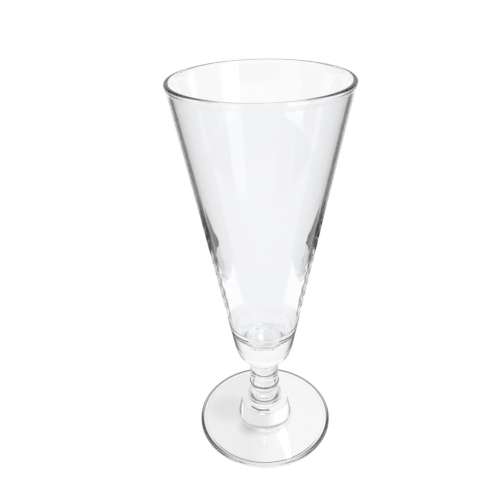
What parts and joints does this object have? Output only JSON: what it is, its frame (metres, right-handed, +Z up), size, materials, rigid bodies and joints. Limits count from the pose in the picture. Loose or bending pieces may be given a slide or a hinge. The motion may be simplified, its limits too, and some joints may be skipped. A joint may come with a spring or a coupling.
{
  "type": "pilsner glass",
  "caption": "Footed clear drinking glass: a tall flared conical bowl on a solid bulb, a short ringed stem and a round flat foot.",
  "frame": {"origin": "centre of the foot, on the plane of the ring that the glass stands on", "axes": "+Z up along the axis of the glass, from the foot to the rim; X and Y are equal, because the glass is round"},
  "size_m": [0.0852, 0.0852, 0.21],
  "materials": {
    "clear_glass": "clear, fire polished"
  },
  "bodies": {
    "root": {"pilsner_glass": "clear_glass"}
  },
  "joints": []
}
